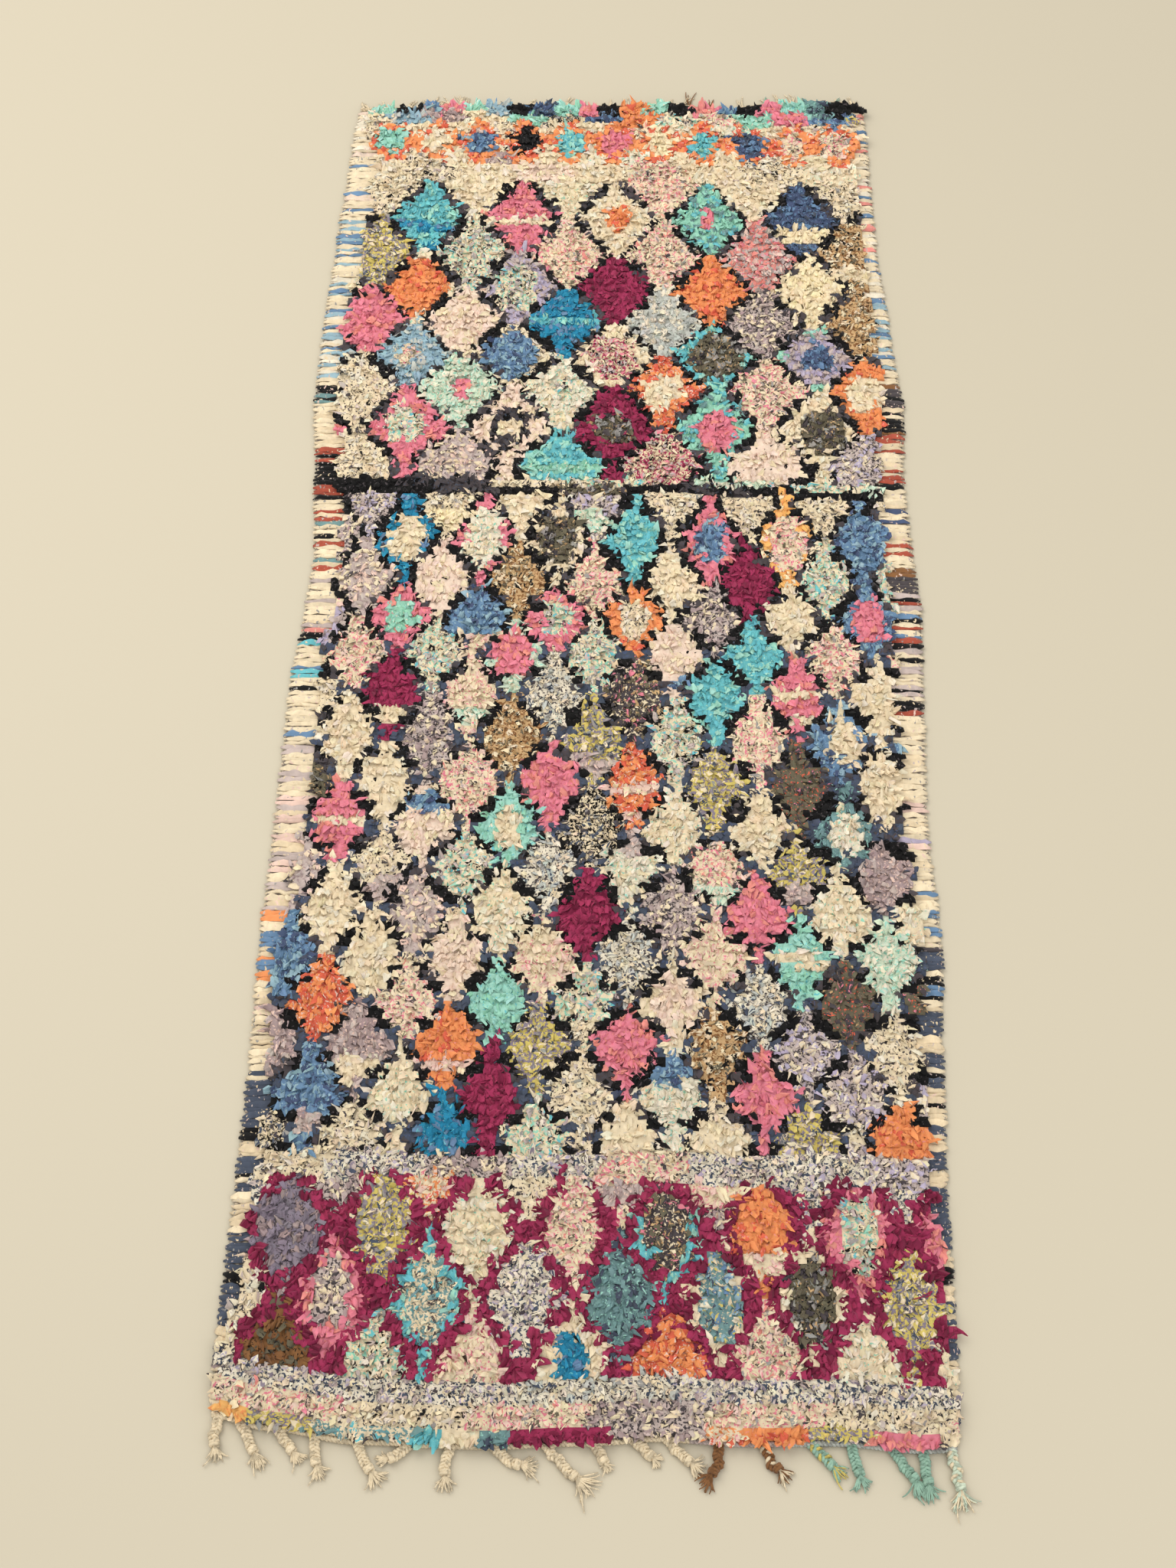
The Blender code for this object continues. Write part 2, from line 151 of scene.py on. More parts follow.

# The weaver's order of rags. A course of lozenges has its y, the x of its first lozenge, its pitch
# and its rags from left to right: edge:centre is a lozenge with a centre, with . for a small centre
# and + for one with a thin rim, rag=stripe a striped one
# and rag| one with bare dotted wefts through it. All placed on an even lattice.
pattern = {
    "small": {
        "top": 1.253, "bottom": 1.150, "outline": "redOrange orange", "band": 1.3,
        "halfWidth": ((0, 0.36), (0.4, 0.25), (0.7, 0.08), (0.95, 0.01)),
        "courses": (
            (1.256, -0.478, 0.087, "creamTweed cream cream creamTweed cream cream roseTweed cream mintCream "
                                   "cream creamTweed cream"),
            (1.203, -0.435, 0.087, "aqua cream blue black turquoise rose straw turquoise navy roseTweed "
                                   "roseTweed blackTweed"),
            (1.150, -0.478, 0.087, "cream creamTweed cream mauve cream paleCream mintCream cream cream "
                                   "creamTweed cream cream"),
        ),
    },
    "one": {
        "top": 1.095, "bottom": 0.366, "outline": "black black charcoal", "band": 0.45,
        "halfWidth": ((0, 0.42), (0.3, 0.33), (0.6, 0.22), (0.9, 0.11), (1.05, 0.07)),
        "courses": (
            (1.090, -0.437, 0.176, "creamTweed cream paleCream roseTweed cream creamTweed"),
            (1.001, -0.349, 0.176, "turquoise=peacock rose=cream cream.orange sea.rose navy rose"),
            (0.906, -0.440, 0.179, "oliveTweed mintTweed roseTweed roseTweed duskPink tanTweed"),
            (0.818, -0.362, 0.184, "paleCream+orange lilac+mintTweed plum orange straw teal"),
            (0.735, -0.442, 0.179, "rose peach peacock=turquoise silver mauveTweed tanTweed"),
            (0.653, -0.370, 0.187, "sky.roseTweed creamTweed+blue cream:plumTweed turquoise+olive "
                                   "mint+lilac+navy"),
            (0.578, -0.450, 0.182, "creamTweed paleMint.rose mintCream.mintTweed redOrange:cream roseTweed "
                                   "orange:cream"),
            (0.478, -0.365, 0.186, "rose:mintTweed peach:charcoal:cream plum:olive sea:rose cream:olive"),
            (0.407, -0.448, 0.180, "creamTweed dustTweed turquoise=mint plumTweed peach| lilacTweed"),
        ),
    },
    "two": {
        "top": 0.338, "bottom": -0.884, "outline": "black black black black charcoal", "band": 0.64,
        "halfWidth": ((0, 0.37), (0.25, 0.32), (0.42, 0.20), (0.6, 0.125), (1.05, 0.11)),
        "courses": (
            (0.322, -0.411, 0.131, "lilacTweed creamTweed cream lilacTweed creamTweed creamTweed creamTweed"),
            (0.242, -0.477, 0.131, "mauveTweed peacock:cream rose:mintCream cream:olive turquoise rose:blue "
                                   "gold:roseTweed blue"),
            (0.143, -0.416, 0.131, "dustTweed peach| tanTweed roseTweed cream plum mintTweed"),
            (0.069, -0.480, 0.132, "lilac rose:mint blue rose:mintTweed orange:creamTweed mauveTweed cream "
                                   "blue:rose"),
            (-0.003, -0.422, 0.134, "roseTweed mintTweed paleMint:rose mintTweed peach| turquoise roseTweed"),
            (-0.080, -0.492, 0.135, "creamTweed plum pinkCream silverTweed charcoalTweed turquoise "
                                    "rose=cream cream"),
            (-0.173, -0.422, 0.135, "cream mauveTweed tanTweed oliveTweed mintTweed roseTweed blue:cream"),
            (-0.255, -0.486, 0.133, "olive cream| roseTweed rose redOrange=blush oliveTweed redCharcoal "
                                    "cream"),
            (-0.342, -0.421, 0.135, "rose=cream peach aqua:cream blackTweed paleCream cream teal:mintCream"),
            (-0.405, -0.480, 0.131, "dustTweed creamTweed mintTweed silverTweed mintCream roseTweed "
                                    "oliveTweed mauve"),
            (-0.489, -0.423, 0.133, "cream dustTweed paleCream plum mauveTweed rose paleCream"),
            (-0.569, -0.490, 0.133, "blue cream peach pinkCream silverTweed pinkCream aqua=cream paleMint"),
            (-0.643, -0.425, 0.134, "redOrange roseTweed aqua mintTweed cream:peach silverTweed redCharcoal"),
            (-0.713, -0.505, 0.136, "mauve mauve orange=blush oliveTweed rose tanTweed lilacTweed "
                                    "creamTweed"),
            (-0.797, -0.433, 0.136, "blue paleCream plum creamTweed mintCream rose lilacTweed"),
            (-0.858, -0.500, 0.135, "blackTweed creamTweed peacock mintTweed cream| cream oliveTweed orange"),
        ),
    },
    "three": {
        "top": -0.926, "bottom": -1.214, "outline": "plum", "band": 0.80,
        "halfWidth": ((0, 0.33), (0.3, 0.28), (0.55, 0.16), (0.8, 0.07), (1.05, 0.02)),
        "courses": (
            (-0.900, -0.513, 0.137, "inkTweed mauveTweed orangeTweed creamTweed roseTweed mauveTweed "
                                    "inkTweed inkTweed"),
            (-0.998, -0.446, 0.137, "heather oliveTweed paleCream roseTweed turquoise:charcoalTweed orange "
                                    "rose:mintTweed"),
            (-1.104, -0.513, 0.137, "creamTweed rose:mauveTweed turquoise:tealTweed inkTweed teal "
                                    "cream:blueTweed cream:olive oliveTweed"),
            (-1.196, -0.448, 0.138, "brown mintTweed pinkCream cream:peacock redOrange roseTweed paleCream"),
        ),
    },
    # Bands woven straight across, from the far end to the near: lowest y, rag blocks with their length
    "bands": (
        (1.284, 0.045, "black mint black blue rose mint sky black navy aqua rose black orange mint "
                       "black salmon blue black rose aqua teal black"),
        (1.253, 0.075, "creamTweed sky mauve straw mint blackTweed navy orange mintTweed roseTweed mint "
                        "rose blue oliveTweed"),
        (1.095, 0.110, "cream creamTweed cream peach cream roseTweed cream creamTweed paleCream"),
        (0.354, 0.160, "black charcoal creamTweed mintTweed paleMint mintTweed paleMint"),
        (0.336, 0.110, "black black charcoal black olive black charcoal black black"),
        (-0.926, 0.130, "creamTweed inkTweed mauveTweed inkTweed roseTweed inkTweed inkTweed lilacTweed"),
        (-1.247, 0.210, "inkTweed inkTweed silverTweed inkTweed"),
        (-1.275, 0.170, "roseTweed creamTweed roseTweed mauveTweed"),
        (-2.000, 0.045, "gold oliveTweed oliveTweed tealTweed tealTweed tealTweed turquoise cream teal "
                        "plum plum plum mauveTweed mauveTweed mauveTweed orangeTweed orange orange "
                        "oliveTweed oliveTweed rose rose creamTweed"),
    ),
    "strayRags": "cream pinkCream paleMint blue dust straw creamTweed cream",
    "strayShare": 0.20,   # lozenges whose rag ran out before their end
}

# How each kind of tuft lies, in metres and degrees
pile = {
    "rows": 158, "columns": 80, "placeJitter": 0.0022, "rowSway": 0.0040, "rootShift": 0.0045,
    "edgeJitter": 0.006, "backwards": 0.14,   # share of tails that fall the other way
    "leanTurn": 30, "tailSpread": 0.0040, "joinShift": 0.007, "wild": (1.1, 0.7, 0.8, 1.2),
    "tailSway": 0.0030, "tailTwist": 0.45, "curl": (-0.35, 0.25), "heights": (0.0035, 0.0300),
    # paintedRootShade: painted shade along each tail, darker at the root and a little lighter at the tip
    "taper": (0.60, 1.0, 0.72), "thinning": (1.0, 1.0, 0.55), "paintedRootShade": (0.93, 1.0, 1.03),
    "swapShare": 0.42, "tuftTone": 0.035, "tuftHue": 0.02,
    # the near end's mean y, where the bands begin to follow its curve, and over how far
    "bandsFollow": (-1.297, -1.05, 0.15),
    # y, bare width at the left and at the right
    "bare": (
        (-1.28, 0.004, 0.006), (-1.17, 0.012, 0.008), (-1.05, 0.030, 0.016), (-0.80, 0.034, 0.028),
        (-0.62, 0.026, 0.032), (-0.45, 0.044, 0.034), (-0.28, 0.056, 0.044), (0.00, 0.046, 0.046),
        (0.20, 0.050, 0.050), (0.40, 0.046, 0.044), (0.65, 0.040, 0.034), (0.90, 0.050, 0.026),
        (1.10, 0.058, 0.030), (1.26, 0.030, 0.022), (1.32, 0.010, 0.010),
    ),
    "bedLow": 0.0130, "bedHigh": 0.0172, "bedBottom": 0.0040, "flutter": 0.0010,
    "kinds": {
        "jersey": {"form": "gutter", "tails": 3, "width": (0.0105, 0.0160), "length": (0.012, 0.0175),
                   "thick": 0.0029, "root": 0.0108, "fan": 38, "turn": 34, "start": (10, 50),
                   "flop": (84, 122), "skew": 0.35},
        "tweed": {"form": "roof", "tails": 3, "width": (0.0080, 0.0120), "length": (0.011, 0.017),
                  "thick": 0.0028, "root": 0.0106, "fan": 50, "turn": 44, "start": (5, 55),
                  "flop": (72, 125), "skew": 0.35},
        "wool": {"form": "roof", "tails": 2, "width": (0.0120, 0.0155), "length": (0.011, 0.014),
                 "thick": 0.0044, "root": 0.0108, "fan": 50, "turn": 50, "start": (10, 45),
                 "flop": (85, 125), "skew": 0.20},
        "puff": {"form": "gutter", "tails": 2, "width": (0.0165, 0.0215), "length": (0.014, 0.018),
                 "thick": 0.0052, "root": 0.0105, "fan": 40, "turn": 36, "start": (10, 45),
                 "flop": (88, 128), "skew": 0.25},
        "dotted": {"form": "roof", "tails": 2, "width": (0.0055, 0.0065), "length": (0.008, 0.010),
                   "thick": 0.0024, "root": 0.0105, "fan": 80, "turn": 12, "start": (40, 50),
                   "flop": (100, 120), "skew": 0.05},
    },
    "pieces": (("tuftRowsFar", 1.095), ("fieldOneUpper", 0.735), ("fieldOneLower", 0.336),
               ("fieldTwoUpper", -0.060), ("fieldTwoMiddle", -0.470), ("fieldTwoLower", -0.884),
               ("plumTrellis", -2.0)),
}


# How far washing has greyed and dulled every dye, and how much darker the pile's colours are made towards the
# near end, at each y
wear = {"fade": 0.07, "depth": 0.92, "nearEndDim": ((-1.3, 0.885), (-0.9, 0.905), (-0.3, 0.955), (0.4, 1.0))}


def linear(dye):
    shade = np.array(dyes[dye]) / 255
    shade = np.where(shade <= 0.04045, shade / 12.92, ((shade + 0.055) / 1.055) ** 2.4)
    return wear["depth"] * (shade + (shade.mean() - shade) * wear["fade"])


# a factor that darkens the pile's colours more and more towards the near end
def treadAt(y):
    return np.interp(y, *zip(*wear["nearEndDim"]))


def lozengeAt(zone, x, y, row):
    courses = zone["courses"]
    at = 0
    while at < len(courses) - 2 and y < courses[at + 1][0]:
        at += 1
    near = []
    for course in (courses[at], courses[at + 1]):
        courseY, first, pitch, words = course
        rise = (y - courseY) / (courses[at][0] - courses[at + 1][0])
        middle = round((x - first) / pitch)
        for number in (middle - 1, middle, middle + 1):
            centre = first + number * pitch
            shape = random.Random(f"{courseY} {number}")
            bulk, drop = shape.uniform(0.92, 1.10), shape.uniform(-0.08, 0.08)
            half = np.interp(abs(rise + drop), *zip(*zone["halfWidth"])) * pitch * bulk
            near.append((abs(x - centre) / half, courseY, number, centre, pitch, words, rise))
    near.sort(key=lambda one: one[0])
    (depth, courseY, number, centre, pitch, words, rise), other = near[0], near[1][0]
    luck = random.Random(f"{courseY} {number}")
    if depth > 1 or other - depth < zone["band"]:
        run = random.Random(f"{row} {round(x / 0.04)}").choice(zone["outline"].split())
        level = min((one[6] for one in near), key=abs)
        if run != "plum" and y < 0.02 and zone["top"] < 1 and -0.14 < level < 0.24:
            run = "slate"
        return run, "puff" if run == "plum" else "wool", 0.0
    listed = words.split()
    word = listed[min(max(number, 0), len(listed) - 1)]
    lean = (x - centre) / (pitch / 2)
    up = (y - courseY) / 0.06
    plainEnd = luck.choice(pattern["strayRags"].split())
    heartSize, stripe = luck.uniform(0.42, 0.62), luck.uniform(-0.75, 0.0)
    if word.endswith("|"):
        word = word[:-1]
        if row % 3 == 0:
            return word, "dotted", 0.0
    if "=" in word:
        word, second = word.split("=")
        if 0 < up - stripe < 0.3 or 0.62 < stripe - up < 0.8:
            word = second
    elif mark := next((one for one in ":.+" if one in word), ""):
        rings = word.split(mark)
        core = math.hypot((x - centre) / (pitch * 0.40), rise * 0.9)
        heartSize *= {":": 1, ".": 0.55, "+": 1.35}[mark]
        word = rings[0] if core > heartSize else rings[1] if core > heartSize * 0.5 else rings[-1]
    elif luck.random() < pattern["strayShare"] and abs(up - luck.choice((-1, 1)) * 0.75) < 0.3:
        word = plainEnd
    return word, "tweed" if "Tweed" in word or word == "redCharcoal" else "jersey", lean


def ragAt(x, y, row):
    for name in ("small", "one", "two", "three"):
        zone = pattern[name]
        if zone["bottom"] < y <= zone["top"]:
            return lozengeAt(zone, x, y, row)
    for bottom, length, words in pattern["bands"]:
        if y > bottom:
            listed = words.split()
            place = (x + 0.52 + 0.008 * math.sin(row * 2.1)) / length
            word = listed[int(place) % len(listed)]
            kind = "tweed" if "Tweed" in word else "wool" if word == "black" else "jersey"
            return word, kind, 0.0
    return "cream", "jersey", 0.0


def knotTable():
    draw = np.random.default_rng(5)
    level, start, ease = pile["bandsFollow"]
    knots = []
    for row in range(pile["rows"]):
        along = (row + 0.5) / pile["rows"]
        hem = [draw.uniform(-1, 1) * pile["edgeJitter"] for side in range(2)]
        for column in range(pile["columns"]):
            x, y = (float(value) for value in clothPoint((column + 0.5) / pile["columns"], along))
            left, right = sideEdges(y)
            bareLeft, bareRight = (float(eased(pile["bare"], side, y)) for side in (1, 2))
            if x - left < bareLeft + hem[0] or right - x < bareRight + hem[1]:
                continue
            sag = level - float(eased(clothOutline["ends"], 1, (column + 0.5) / pile["columns"]))
            word, kind, lean = ragAt(x, y + sag * min(max((start - y) / ease, 0), 1), row)
            knots.append((x, y, word, kind, lean, row, column))
    print("knots tied:", len(knots))
    return knots


def layBed(knots):
    # The lower part of the pile: one low cushion for each knot, in its rag's colour
    words = {(knot[5], knot[6]): knot[2] for knot in knots}
    draw = np.random.default_rng(9)
    bm = bmesh.new()
    bmesh.ops.create_grid(bm, x_segments=pile["columns"], y_segments=pile["rows"], size=0.5)
    rowLayer, columnLayer = bm.faces.layers.int.new("row"), bm.faces.layers.int.new("column")
    bare = []
    for face in bm.faces:
        middle = face.calc_center_median()
        face[rowLayer] = int((middle.y + 0.5) * pile["rows"])
        face[columnLayer] = int((middle.x + 0.5) * pile["columns"])
        if (face[rowLayer], face[columnLayer]) not in words:
            bare.append(face)
    bmesh.ops.delete(bm, geom=bare, context="FACES")
    for vert in bm.verts:
        x, y = clothPoint(vert.co.x + 0.5, vert.co.y + 0.5)
        vert.co = (x, y, pile["bedLow"])
    upper = bm.faces[:]
    grown = bmesh.ops.extrude_face_region(bm, geom=upper, use_keep_orig=True)["geom"]
    for vert in grown:
        if isinstance(vert, bmesh.types.BMVert):
            vert.co.z = pile["bedBottom"]
    lower = [face for face in grown if isinstance(face, bmesh.types.BMFace)]
    poked = bmesh.ops.poke(bm, faces=upper)
    for vert in poked["verts"]:
        vert.co.z = pile["bedHigh"] + draw.uniform(-0.001, 0.001)
    bmesh.ops.dissolve_faces(bm, faces=lower)
    bmesh.ops.recalc_face_normals(bm, faces=bm.faces[:])
    mesh = bpy.data.meshes.new("pileBed")
    bm.faces.ensure_lookup_table()
    words = [words.get((face[rowLayer], face[columnLayer]), "cream") for face in bm.faces]
    nearEndDims = [treadAt(face.calc_center_median().y) for face in bm.faces]
    counts = [len(face.verts) for face in bm.faces]
    bm.to_mesh(mesh)
    bm.free()
    # painted shade: each cushion takes its rag's ground colour darkened by 0.96, as it lies in the shade between
    # the tufts
    grounds = {word: linear(rags[word][0].split()[0]) * 0.96 for word in set(words)}
    marks = {word: linear(rags[word][1].split()[0]) for word in set(words)}
    shades = np.repeat([(*grounds[word] * nearEndDim, 1) for word, nearEndDim in zip(words, nearEndDims)], counts, axis=0)
    prints = np.repeat([(*marks[word] * nearEndDim, rags[word][2]) for word, nearEndDim in zip(words, nearEndDims)],
                       counts, axis=0)
    paintMesh(mesh, "CORNER", rag=shades, mark=prints)
    uvLayer = mesh.uv_layers.new(name="ragUv")
    places = np.array([mesh.vertices[loop.vertex_index].co[:2] for loop in mesh.loops])
    uvLayer.data.foreach_set("uv", places.astype(np.float32).ravel())
    mesh.shade_smooth()
    piece = addPiece("pileBed", mesh)
    print("bed cushions:", len(knots), "triangles:", triangles(piece))
    return piece


def closedBar(sides, rings):
    # A closed bar cut into rings; its corners hold section x, section y, share of the length
    bm = bmesh.new()
    bmesh.ops.create_cone(bm, cap_ends=True, segments=sides, radius1=1, radius2=1, depth=1)
    bmesh.ops.translate(bm, vec=(0, 0, 0.5), verts=bm.verts[:])
    upright = [edge for edge in bm.edges if abs(edge.verts[0].co.z - edge.verts[1].co.z) > 0.5]
    bmesh.ops.subdivide_edges(bm, edges=upright, cuts=rings - 2)
    bmesh.ops.recalc_face_normals(bm, faces=bm.faces[:])
    bm.verts.index_update()
    form = {
        "unit": np.array([vert.co[:] for vert in bm.verts]),
        "corners": np.array([vert.index for face in bm.faces for vert in face.verts]),
        "counts": np.array([len(face.verts) for face in bm.faces]),
    }
    bm.free()
    return form


def joinedMesh(name, blocks):
    # One mesh out of many placed copies: each block is a bar's form, its places, colours and UVs
    starts, corners, places, inks, uvs = [], [], [], {}, []
    vertCount = cornerCount = 0
    for form, place, ink, uv in blocks:
        copies, points = place.shape[:2]
        shift = np.arange(copies)[:, None] * points + vertCount
        corners.append((form["corners"][None] + shift).ravel())
        first = np.concatenate(([0], np.cumsum(form["counts"])[:-1]))
        perCopy = len(form["corners"])
        starts.append((first[None] + np.arange(copies)[:, None] * perCopy + cornerCount).ravel())
        places.append(place.reshape(-1, 3))
        uvs.append(uv.reshape(-1, 2))
        for key, value in ink.items():
            inks.setdefault(key, []).append(value.reshape(-1, 4))
        vertCount += copies * points
        cornerCount += copies * perCopy
    corners, starts, places = np.concatenate(corners), np.concatenate(starts), np.concatenate(places)
    mesh = bpy.data.meshes.new(name)
    mesh.vertices.add(len(places))
    mesh.vertices.foreach_set("co", places.astype(np.float32).ravel())
    mesh.loops.add(len(corners))
    mesh.loops.foreach_set("vertex_index", corners.astype(np.int32))
    mesh.polygons.add(len(starts))
    mesh.polygons.foreach_set("loop_start", starts.astype(np.int32))
    mesh.update(calc_edges=True)
    paintMesh(mesh, "POINT", **{key: np.concatenate(value) for key, value in inks.items()})
    uvLayer = mesh.uv_layers.new(name="ragUv")
    uvLayer.data.foreach_set("uv", np.concatenate(uvs)[corners].astype(np.float32).ravel())
    mesh.shade_smooth()
    mesh.set_sharp_from_angle(angle=math.radians(80))
    return addPiece(name, mesh)


def triangles(piece):
    return sum(len(face.vertices) - 2 for face in piece.data.polygons)


# A strip folded over one ridge, and a creased one with two ridges; both have a flat underside
barForms = {"roof": closedBar(4, 3), "gutter": closedBar(5, 3)}
roofUnit = barForms["roof"]["unit"]
roofUnit[:, 1] = np.where(roofUnit[:, 1] < -0.1, -0.45, roofUnit[:, 1])
gutterUnit = barForms["gutter"]["unit"]
crease, edge = gutterUnit[:, 1] > 0.9, gutterUnit[:, 1] < -0.5
gutterUnit[:, 0] = np.where(crease, 0, np.sign(gutterUnit[:, 0]) * np.where(edge, 1, 0.55))
gutterUnit[:, 1] = np.where(crease, -0.05, np.where(edge, -0.45, 1.0))


def layTails(form, x, y, kind, heading, scale, draw):
    # Bends copies of the bar into tails that rise from their knot and flop over
    unit = form["unit"]
    count = len(x)
    across, lift, share = (unit[None, :, axis] for axis in range(3))
    pick = lambda span: draw.uniform(span[0], span[1], (count, 1))
    width = pick(kind["width"]) * np.interp(share, (0, 0.5, 1), pile["taper"])
    length = pick(kind["length"]) * scale[:, None]
    thick = kind["thick"] * draw.uniform(0.8, 1.25, (count, 1))
    thick = thick * np.interp(share, (0, 0.5, 1), pile["thinning"])
    start = np.radians(pick(kind["start"]))
    flop = np.radians(pick(kind["flop"]))
    skew = draw.normal(0, kind["skew"], (count, 1))
    sway = draw.normal(0, pile["tailSway"], (count, 1))
    twist = draw.normal(0, pile["tailTwist"], (count, 1)) * share
    curl = draw.uniform(*pile["curl"], (count, 1))
    side = across * width / 2
    rise = lift * thick + curl * across * across * width / 2
    side, rise = side * np.cos(twist) - rise * np.sin(twist), side * np.sin(twist) + rise * np.cos(twist)
    side = side + sway * share * share
    reach = length * (1 + skew * across * share)
    angle = start + (flop - start) * share
    forward = reach * (np.cos(start) - np.cos(angle)) / (flop - start) - rise * np.cos(angle)
    height = reach * (np.sin(angle) - np.sin(start)) / (flop - start) + rise * np.sin(angle)
    turned = np.radians(heading)[:, None]
    flutter = draw.normal(0, pile["flutter"], (count, len(unit), 3)) * (share[..., None] > 0.1)
    root = kind["root"] + draw.normal(0, 0.0010, (count, 1))
    places = np.stack((
        x[:, None] + forward * np.sin(turned) + side * np.cos(turned),
        y[:, None] - forward * np.cos(turned) + side * np.sin(turned),
        root + height,
    ), axis=2) + flutter
    places[..., 2] = np.clip(places[..., 2], *pile["heights"])
    offset = draw.uniform(0, 1, (count, 1, 2))
    uv = np.stack((side + 0 * share, length * share), axis=2) + offset
    return places, uv


def inkTails(form, words, nearEndDims, draw, alternate=None):
    # A ground colour with painted shade, darker at the root and a little lighter at the tip, and a mark colour
    # whose fourth value is its share
    count = len(words)
    share = form["unit"][:, 2]
    ground = np.empty((count, len(share), 4))
    mark = np.empty((count, len(share), 4))
    for at, word in enumerate(words):
        grounds, marks, cover = rags[word]
        grounds, marks = grounds.split(), marks.split()
        base = grounds[draw.integers(len(grounds))]
        print_ = marks[draw.integers(len(marks))]
        if "Tweed" in word and draw.random() < cover * pile["swapShare"]:
            base, print_ = print_, base
        if alternate is not None and alternate[at]:
            base = "black"
        tone = draw.normal(1, pile["tuftTone"])
        shade = linear(base) * nearEndDims[at] * tone * draw.normal(1, pile["tuftHue"], 3)
        # painted shade and highlight: each tail's colour darkened towards its root and lightened a little at its
        # tip
        ground[at, :, :3] = shade[None] * np.interp(share, (0, 0.5, 1), pile["paintedRootShade"])[:, None]
        mark[at, :, :3] = linear(print_)[None] * nearEndDims[at]
        mark[at, :, 3] = cover
    ground[..., 3] = 1
    return {"rag": np.clip(ground, 0, 1), "mark": np.clip(mark, 0, 1)}


def tiePile(knots, name, seed):
    draw = np.random.default_rng(seed)
    blocks = []
    for kindName, kind in pile["kinds"].items():
        own = [knot for knot in knots if knot[3] == kindName]
        if not own:
            continue
        for tail in range(kind["tails"]):
            form = barForms[kind["form"]]
            place = np.array([(knot[0], knot[1]) for knot in own])
            sway = [noise.noise(Vector((x * 40, y * 40, 7))) for x, y in place]
            place[:, 1] += pile["rowSway"] * np.array(sway)
            place += draw.normal(0, pile["placeJitter"], place.shape)
            spot = (tail - (kind["tails"] - 1) / 2) * 2 / kind["tails"]   # -1 to 1 across the knot
            lean = np.array([knot[4] for knot in own])
            heading = spot * kind["fan"] + lean * pile["leanTurn"] + draw.normal(0, kind["turn"], len(own))
            heading += np.where(draw.random(len(own)) < pile["backwards"], 180, 0)
            rows = np.array([knot[5] for knot in own])   # the far row stands wilder and points outwards
            scale = 1 + 0.10 * np.array([noise.noise(Vector((x * 14, y * 14, 1))) for x, y in place])
            far = rows >= pile["rows"] - 1
            heading = np.where(far, 180 + heading, heading)
            mean, change, least, most = pile["wild"]
            wild = [mean + change * noise.noise(Vector((x * 25, tail, 3))) for x in place[:, 0]]
            scale = np.where(far, scale * wild * draw.uniform(least, most, len(own)), scale)
            place[:, 0] += spot * pile["tailSpread"]
            place[:, 1] += np.where(far, -1, 1) * pile["rootShift"]
            place[:, 1] -= np.where(rows == 0, pile["joinShift"], 0)   # hides the join with the cord
            alternate = [tail == 0] * len(own) if kindName == "dotted" else None
            places, uv = layTails(form, place[:, 0], place[:, 1], kind, heading, scale, draw)
            nearEndDims = treadAt([knot[1] for knot in own])
            ink = inkTails(form, [knot[2] for knot in own], nearEndDims, draw, alternate)
            blocks.append((form, places, ink, uv))
    piece = joinedMesh(name, blocks)
    print(name, "tufts:", len(knots), "triangles:", triangles(piece))
    return piece


# Shader groups that several materials use

def newGroup(name, inputs, outputs):
    group = bpy.data.node_groups.new(name, "ShaderNodeTree")
    for label, kind, value in inputs:
        socket = group.interface.new_socket(label, in_out="INPUT", socket_type=kind)
        socket.default_value = value
    for label, kind in outputs:
        group.interface.new_socket(label, in_out="OUTPUT", socket_type=kind)
    return group, group.nodes.new("NodeGroupInput"), group.nodes.new("NodeGroupOutput")


def feed(tree, node, links):
    # links: (own input, another node's output or a plain value)
    for own, source in links:
        if hasattr(source, "is_output"):
            tree.links.new(source, node.inputs[own])
        else:
            node.inputs[own].default_value = source


def addNode(tree, kind, links=(), **settings):
    node = tree.nodes.new(kind)
    for key, value in settings.items():
        setattr(node, key, value)
    feed(tree, node, links)
    return node


def makePrintGroup():
    # Blotches of a second colour, with crisp edges, covering about the share asked for
    group, given, result = newGroup("clothPrint", [
        ("Vector", "NodeSocketVector", (0, 0, 0)), ("Ground", "NodeSocketColor", (1, 1, 1, 1)),
        ("Mark", "NodeSocketColor", (0, 0, 0, 1)), ("Share", "NodeSocketFloat", 0.3),
        ("Scale", "NodeSocketFloat", 200.0),
    ], [("Color", "NodeSocketColor"), ("Mask", "NodeSocketFloat")])
    spots = addNode(group, "ShaderNodeTexNoise", [
        ("Vector", given.outputs["Vector"]), ("Scale", given.outputs["Scale"]),
        ("Detail", 1.5), ("Roughness", 0.6),
    ])
    level = addNode(group, "ShaderNodeMath", [(0, given.outputs["Share"]), (1, 0.42)], operation="MULTIPLY")
    raised = addNode(group, "ShaderNodeMath", [
        (0, spots.outputs[0]), (1, level.outputs[0]),
    ], operation="ADD")
    mask = addNode(group, "ShaderNodeMapRange", [
        ("Value", raised.outputs[0]), ("From Min", 0.655), ("From Max", 0.70),
    ])
    mix = addNode(group, "ShaderNodeMix", [
        (0, mask.outputs[0]), (6, given.outputs["Ground"]), (7, given.outputs["Mark"]),
    ], data_type="RGBA")
    feed(group, result, [("Color", mix.outputs[2]), ("Mask", mask.outputs[0])])
    return group


